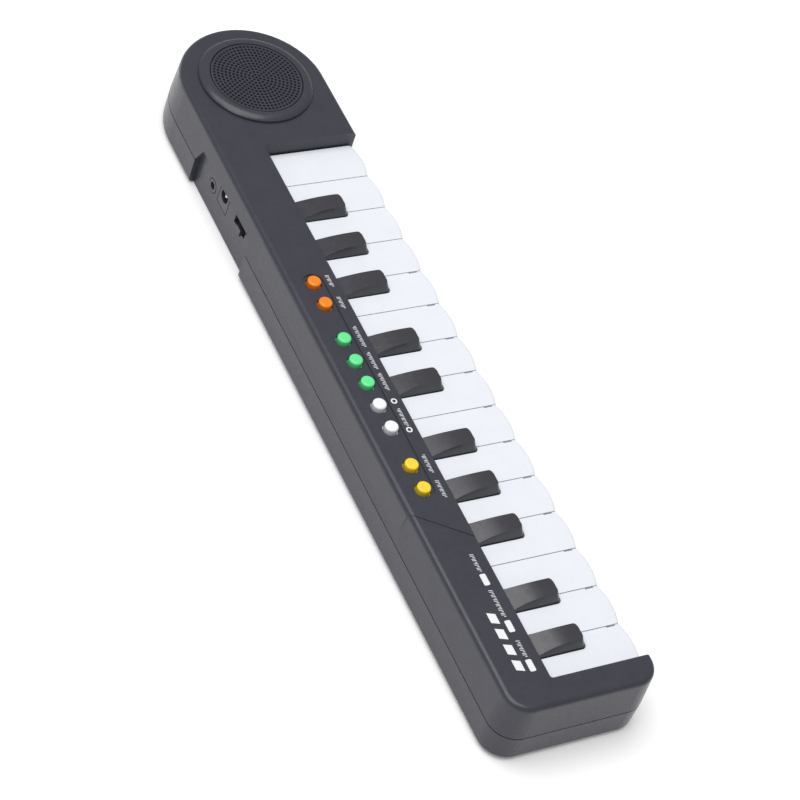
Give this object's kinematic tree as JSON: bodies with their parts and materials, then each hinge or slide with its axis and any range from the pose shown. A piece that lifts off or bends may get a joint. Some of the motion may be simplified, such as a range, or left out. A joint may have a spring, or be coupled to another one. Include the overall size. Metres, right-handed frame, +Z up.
{
  "type": "toy electronic keyboard",
  "caption": "Small battery toy keyboard: hinged white and black keys, coloured push buttons, a round speaker at one end, sockets and a switch in the back edge.",
  "frame": {"origin": "centre of the footprint, on the surface the feet stand on", "axes": "+X along the keys from the lowest note to the speaker, +Y from the player to the back edge with the sockets, +Z up"},
  "size_m": [0.363, 0.069, 0.0356],
  "materials": {
    "case_plastic": "satin moulded charcoal grey",
    "white_key_plastic": "glossy white",
    "black_key_plastic": "semi-gloss black",
    "yellow_plastic": "glossy yellow",
    "white_button_plastic": "glossy white",
    "green_plastic": "glossy green",
    "orange_plastic": "glossy orange",
    "frame_plastic": "plain black moulding",
    "black_plastic": "satin black",
    "switch_plastic": "satin dark grey",
    "paper_cone": "black pressed paper, plastic stands in",
    "circuit_board": "green lacquered board",
    "grey_rubber": "moulded silicone",
    "black_rubber": "soft black rubber",
    "steel": "plain zinc-plated steel",
    "plated_metal": "nickel plated",
    "battery_wrap": "printed wrapper, plain blue"
  },
  "bodies": {
    "case": {"top_case": "case_plastic", "bottom_case": "case_plastic", "speaker_grille": "case_plastic", "speaker_basket": "steel", "speaker_cone": "paper_cone", "speaker_magnet": "steel", "key_frame": "frame_plastic", "key_contact_board": "circuit_board", "key_rubber_strip": "grey_rubber", "sound_chip": "black_plastic", "button_board": "circuit_board", "button_rubber_pad": "grey_rubber", "jack_board": "circuit_board", "audio_jack": "black_plastic", "dc_jack": "black_plastic", "dc_jack_pin": "plated_metal", "power_switch": "steel", "battery_cells": "battery_wrap", "battery_springs": "plated_metal", "battery_plates": "plated_metal", "case_screws": "steel", "rubber_feet": "black_rubber"},
    "white_key_1_body": {"white_key_1": "white_key_plastic"},
    "white_key_2_body": {"white_key_2": "white_key_plastic"},
    "white_key_3_body": {"white_key_3": "white_key_plastic"},
    "white_key_4_body": {"white_key_4": "white_key_plastic"},
    "white_key_5_body": {"white_key_5": "white_key_plastic"},
    "white_key_6_body": {"white_key_6": "white_key_plastic"},
    "white_key_7_body": {"white_key_7": "white_key_plastic"},
    "white_key_8_body": {"white_key_8": "white_key_plastic"},
    "white_key_9_body": {"white_key_9": "white_key_plastic"},
    "white_key_10_body": {"white_key_10": "white_key_plastic"},
    "white_key_11_body": {"white_key_11": "white_key_plastic"},
    "white_key_12_body": {"white_key_12": "white_key_plastic"},
    "white_key_13_body": {"white_key_13": "white_key_plastic"},
    "white_key_14_body": {"white_key_14": "white_key_plastic"},
    "white_key_15_body": {"white_key_15": "white_key_plastic"},
    "black_key_1_body": {"black_key_1": "black_key_plastic"},
    "black_key_2_body": {"black_key_2": "black_key_plastic"},
    "black_key_3_body": {"black_key_3": "black_key_plastic"},
    "black_key_4_body": {"black_key_4": "black_key_plastic"},
    "black_key_5_body": {"black_key_5": "black_key_plastic"},
    "black_key_6_body": {"black_key_6": "black_key_plastic"},
    "black_key_7_body": {"black_key_7": "black_key_plastic"},
    "black_key_8_body": {"black_key_8": "black_key_plastic"},
    "black_key_9_body": {"black_key_9": "black_key_plastic"},
    "black_key_10_body": {"black_key_10": "black_key_plastic"},
    "tempo_button_body": {"tempo_button": "yellow_plastic"},
    "effect_button_body": {"effect_button": "yellow_plastic"},
    "volume_down_button_body": {"volume_down_button": "white_button_plastic"},
    "volume_up_button_body": {"volume_up_button": "white_button_plastic"},
    "demo_all_button_body": {"demo_all_button": "green_plastic"},
    "demo_one_button_body": {"demo_one_button": "green_plastic"},
    "chord_button_body": {"chord_button": "green_plastic"},
    "tone_button_body": {"tone_button": "orange_plastic"},
    "stop_button_body": {"stop_button": "orange_plastic"},
    "power_switch_lever_body": {"power_switch_lever": "switch_plastic"},
    "battery_cover_body": {"battery_cover": "case_plastic"}
  },
  "joints": [
    {"name": "white_key_1_press", "type": "hinge", "parent": "case", "child": "white_key_1_body", "pos_m": [0, 0.024, 0.0242], "axis": [1, 0, 0], "range_deg": [0, 4], "stiffness_Nm_per_rad": 0.12, "springref_deg": -6.88},
    {"name": "white_key_2_press", "type": "hinge", "parent": "case", "child": "white_key_2_body", "pos_m": [0, 0.024, 0.0242], "axis": [1, 0, 0], "range_deg": [0, 4], "stiffness_Nm_per_rad": 0.12, "springref_deg": -6.88},
    {"name": "white_key_3_press", "type": "hinge", "parent": "case", "child": "white_key_3_body", "pos_m": [0, 0.024, 0.0242], "axis": [1, 0, 0], "range_deg": [0, 4], "stiffness_Nm_per_rad": 0.12, "springref_deg": -6.88},
    {"name": "white_key_4_press", "type": "hinge", "parent": "case", "child": "white_key_4_body", "pos_m": [0, 0.024, 0.0242], "axis": [1, 0, 0], "range_deg": [0, 4], "stiffness_Nm_per_rad": 0.12, "springref_deg": -6.88},
    {"name": "white_key_5_press", "type": "hinge", "parent": "case", "child": "white_key_5_body", "pos_m": [0, 0.024, 0.0242], "axis": [1, 0, 0], "range_deg": [0, 4], "stiffness_Nm_per_rad": 0.12, "springref_deg": -6.88},
    {"name": "white_key_6_press", "type": "hinge", "parent": "case", "child": "white_key_6_body", "pos_m": [0, 0.024, 0.0242], "axis": [1, 0, 0], "range_deg": [0, 4], "stiffness_Nm_per_rad": 0.12, "springref_deg": -6.88},
    {"name": "white_key_7_press", "type": "hinge", "parent": "case", "child": "white_key_7_body", "pos_m": [0, 0.024, 0.0242], "axis": [1, 0, 0], "range_deg": [0, 4], "stiffness_Nm_per_rad": 0.12, "springref_deg": -6.88},
    {"name": "white_key_8_press", "type": "hinge", "parent": "case", "child": "white_key_8_body", "pos_m": [0, 0.024, 0.0242], "axis": [1, 0, 0], "range_deg": [0, 4], "stiffness_Nm_per_rad": 0.12, "springref_deg": -6.88},
    {"name": "white_key_9_press", "type": "hinge", "parent": "case", "child": "white_key_9_body", "pos_m": [0, 0.024, 0.0242], "axis": [1, 0, 0], "range_deg": [0, 4], "stiffness_Nm_per_rad": 0.12, "springref_deg": -6.88},
    {"name": "white_key_10_press", "type": "hinge", "parent": "case", "child": "white_key_10_body", "pos_m": [0, 0.024, 0.0242], "axis": [1, 0, 0], "range_deg": [0, 4], "stiffness_Nm_per_rad": 0.12, "springref_deg": -6.88},
    {"name": "white_key_11_press", "type": "hinge", "parent": "case", "child": "white_key_11_body", "pos_m": [0, 0.024, 0.0242], "axis": [1, 0, 0], "range_deg": [0, 4], "stiffness_Nm_per_rad": 0.12, "springref_deg": -6.88},
    {"name": "white_key_12_press", "type": "hinge", "parent": "case", "child": "white_key_12_body", "pos_m": [0, 0.024, 0.0242], "axis": [1, 0, 0], "range_deg": [0, 4], "stiffness_Nm_per_rad": 0.12, "springref_deg": -6.88},
    {"name": "white_key_13_press", "type": "hinge", "parent": "case", "child": "white_key_13_body", "pos_m": [0, 0.024, 0.0242], "axis": [1, 0, 0], "range_deg": [0, 4], "stiffness_Nm_per_rad": 0.12, "springref_deg": -6.88},
    {"name": "white_key_14_press", "type": "hinge", "parent": "case", "child": "white_key_14_body", "pos_m": [0, 0.024, 0.0242], "axis": [1, 0, 0], "range_deg": [0, 4], "stiffness_Nm_per_rad": 0.12, "springref_deg": -6.88},
    {"name": "white_key_15_press", "type": "hinge", "parent": "case", "child": "white_key_15_body", "pos_m": [0, 0.024, 0.0242], "axis": [1, 0, 0], "range_deg": [0, 4], "stiffness_Nm_per_rad": 0.12, "springref_deg": -6.88},
    {"name": "black_key_1_press", "type": "hinge", "parent": "case", "child": "black_key_1_body", "pos_m": [0, 0.024, 0.0242], "axis": [1, 0, 0], "range_deg": [0, 4], "stiffness_Nm_per_rad": 0.12, "springref_deg": -6.88},
    {"name": "black_key_2_press", "type": "hinge", "parent": "case", "child": "black_key_2_body", "pos_m": [0, 0.024, 0.0242], "axis": [1, 0, 0], "range_deg": [0, 4], "stiffness_Nm_per_rad": 0.12, "springref_deg": -6.88},
    {"name": "black_key_3_press", "type": "hinge", "parent": "case", "child": "black_key_3_body", "pos_m": [0, 0.024, 0.0242], "axis": [1, 0, 0], "range_deg": [0, 4], "stiffness_Nm_per_rad": 0.12, "springref_deg": -6.88},
    {"name": "black_key_4_press", "type": "hinge", "parent": "case", "child": "black_key_4_body", "pos_m": [0, 0.024, 0.0242], "axis": [1, 0, 0], "range_deg": [0, 4], "stiffness_Nm_per_rad": 0.12, "springref_deg": -6.88},
    {"name": "black_key_5_press", "type": "hinge", "parent": "case", "child": "black_key_5_body", "pos_m": [0, 0.024, 0.0242], "axis": [1, 0, 0], "range_deg": [0, 4], "stiffness_Nm_per_rad": 0.12, "springref_deg": -6.88},
    {"name": "black_key_6_press", "type": "hinge", "parent": "case", "child": "black_key_6_body", "pos_m": [0, 0.024, 0.0242], "axis": [1, 0, 0], "range_deg": [0, 4], "stiffness_Nm_per_rad": 0.12, "springref_deg": -6.88},
    {"name": "black_key_7_press", "type": "hinge", "parent": "case", "child": "black_key_7_body", "pos_m": [0, 0.024, 0.0242], "axis": [1, 0, 0], "range_deg": [0, 4], "stiffness_Nm_per_rad": 0.12, "springref_deg": -6.88},
    {"name": "black_key_8_press", "type": "hinge", "parent": "case", "child": "black_key_8_body", "pos_m": [0, 0.024, 0.0242], "axis": [1, 0, 0], "range_deg": [0, 4], "stiffness_Nm_per_rad": 0.12, "springref_deg": -6.88},
    {"name": "black_key_9_press", "type": "hinge", "parent": "case", "child": "black_key_9_body", "pos_m": [0, 0.024, 0.0242], "axis": [1, 0, 0], "range_deg": [0, 4], "stiffness_Nm_per_rad": 0.12, "springref_deg": -6.88},
    {"name": "black_key_10_press", "type": "hinge", "parent": "case", "child": "black_key_10_body", "pos_m": [0, 0.024, 0.0242], "axis": [1, 0, 0], "range_deg": [0, 4], "stiffness_Nm_per_rad": 0.12, "springref_deg": -6.88},
    {"name": "tempo_button_push", "type": "slide", "parent": "case", "child": "tempo_button_body", "axis": [0, 0, -1], "range_m": [0, 0.0012], "stiffness_N_per_m": 600, "springref_m": -0.0012},
    {"name": "effect_button_push", "type": "slide", "parent": "case", "child": "effect_button_body", "axis": [0, 0, -1], "range_m": [0, 0.0012], "stiffness_N_per_m": 600, "springref_m": -0.0012},
    {"name": "volume_down_button_push", "type": "slide", "parent": "case", "child": "volume_down_button_body", "axis": [0, 0, -1], "range_m": [0, 0.0012], "stiffness_N_per_m": 600, "springref_m": -0.0012},
    {"name": "volume_up_button_push", "type": "slide", "parent": "case", "child": "volume_up_button_body", "axis": [0, 0, -1], "range_m": [0, 0.0012], "stiffness_N_per_m": 600, "springref_m": -0.0012},
    {"name": "demo_all_button_push", "type": "slide", "parent": "case", "child": "demo_all_button_body", "axis": [0, 0, -1], "range_m": [0, 0.0012], "stiffness_N_per_m": 600, "springref_m": -0.0012},
    {"name": "demo_one_button_push", "type": "slide", "parent": "case", "child": "demo_one_button_body", "axis": [0, 0, -1], "range_m": [0, 0.0012], "stiffness_N_per_m": 600, "springref_m": -0.0012},
    {"name": "chord_button_push", "type": "slide", "parent": "case", "child": "chord_button_body", "axis": [0, 0, -1], "range_m": [0, 0.0012], "stiffness_N_per_m": 600, "springref_m": -0.0012},
    {"name": "tone_button_push", "type": "slide", "parent": "case", "child": "tone_button_body", "axis": [0, 0, -1], "range_m": [0, 0.0012], "stiffness_N_per_m": 600, "springref_m": -0.0012},
    {"name": "stop_button_push", "type": "slide", "parent": "case", "child": "stop_button_body", "axis": [0, 0, -1], "range_m": [0, 0.0012], "stiffness_N_per_m": 600, "springref_m": -0.0012},
    {"name": "power_switch_slide", "type": "slide", "parent": "case", "child": "power_switch_lever_body", "axis": [1, 0, 0], "range_m": [0, 0.004]},
    {"name": "battery_cover_lift", "type": "slide", "parent": "case", "child": "battery_cover_body", "axis": [0, 0, -1], "range_m": [0, 0.012]}
  ]
}
